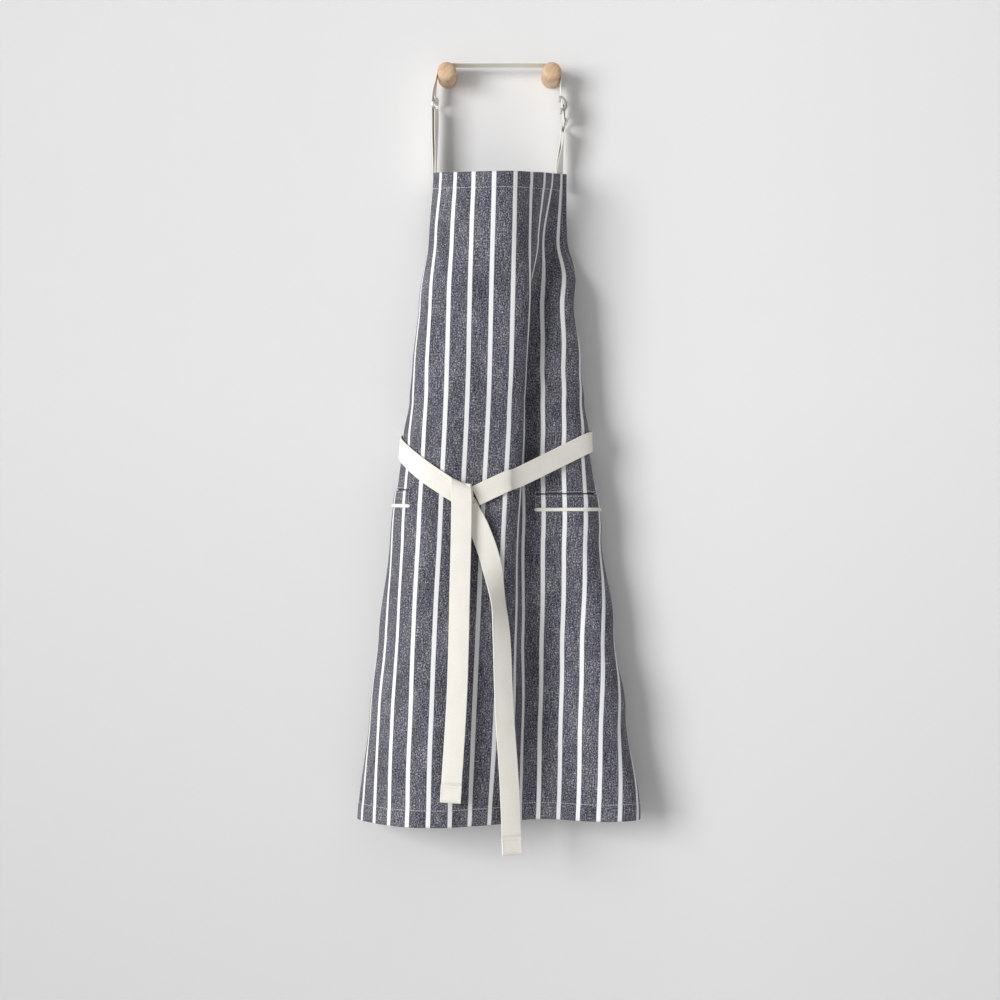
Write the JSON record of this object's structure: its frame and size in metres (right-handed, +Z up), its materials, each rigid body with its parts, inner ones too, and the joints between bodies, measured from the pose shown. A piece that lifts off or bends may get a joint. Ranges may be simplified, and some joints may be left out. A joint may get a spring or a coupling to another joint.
{
  "type": "hanging apron",
  "caption": "Striped bib apron with welt pockets and knotted waist ties, hung by its adjustable neck strap over two turned wooden wall pegs.",
  "frame": {"origin": "on the wall plane, midway between the axes of the two pegs", "axes": "+X to the right as seen from the room, +Z up, +Y into the wall; the pegs and the apron lie on the -Y side"},
  "size_m": [0.3571, 0.1606, 0.9858],
  "materials": {
    "beech": "turned and sanded beech, satin clear coat",
    "bolt_steel": "zinc-plated hanger bolt",
    "striped_cloth": "blue-grey chambray cotton with narrow woven white stripes",
    "pocket_lining": "plain blue-grey cotton",
    "cream_tape": "folded cotton binding tape",
    "cream_webbing": "flat woven cotton webbing, natural cream",
    "ring_metal": "nickel-plated wire"
  },
  "bodies": {
    "root": {"left_peg": "beech", "right_peg": "beech", "left_hanger_bolt": "bolt_steel", "right_hanger_bolt": "bolt_steel"},
    "apron": {"apron_panel": "striped_cloth", "left_pocket_bag": "pocket_lining", "right_pocket_bag": "pocket_lining", "left_pocket_welt": "striped_cloth", "right_pocket_welt": "striped_cloth", "left_pocket_binding": "cream_tape", "right_pocket_binding": "cream_tape", "neck_strap": "cream_webbing", "left_strap_tab": "cream_webbing", "right_strap_tab": "cream_webbing", "left_ring": "ring_metal", "right_ring": "ring_metal", "left_waist_tie": "cream_webbing", "right_waist_tie": "cream_webbing", "knot_wrap": "cream_webbing"},
    "slider": {"strap_slider": "ring_metal", "sewn_strap_end": "cream_webbing"},
    "front_tail": {"front_tail": "cream_webbing", "front_tail_hem": "cream_webbing"},
    "rear_tail": {"rear_tail": "cream_webbing", "rear_tail_hem": "cream_webbing"}
  },
  "joints": [
    {"name": "lift_off", "type": "slide", "parent": "root", "child": "apron", "axis": [0.0501, -0.852, 0.5212], "range_m": [0, 0.06]},
    {"name": "slider_adjust", "type": "slide", "parent": "apron", "child": "slider", "axis": [-0.1045, 0, 0.9945], "range_m": [0, 0.012]},
    {"name": "front_tail_swing", "type": "hinge", "parent": "apron", "child": "front_tail", "pos_m": [-0.046, -0.1297, -0.5473], "axis": [-1, 0, 0], "range_deg": [0, 60]},
    {"name": "rear_tail_swing", "type": "hinge", "parent": "apron", "child": "rear_tail", "pos_m": [-0.034, -0.119, -0.556], "axis": [-1, 0, 0], "range_deg": [0, 18]}
  ]
}
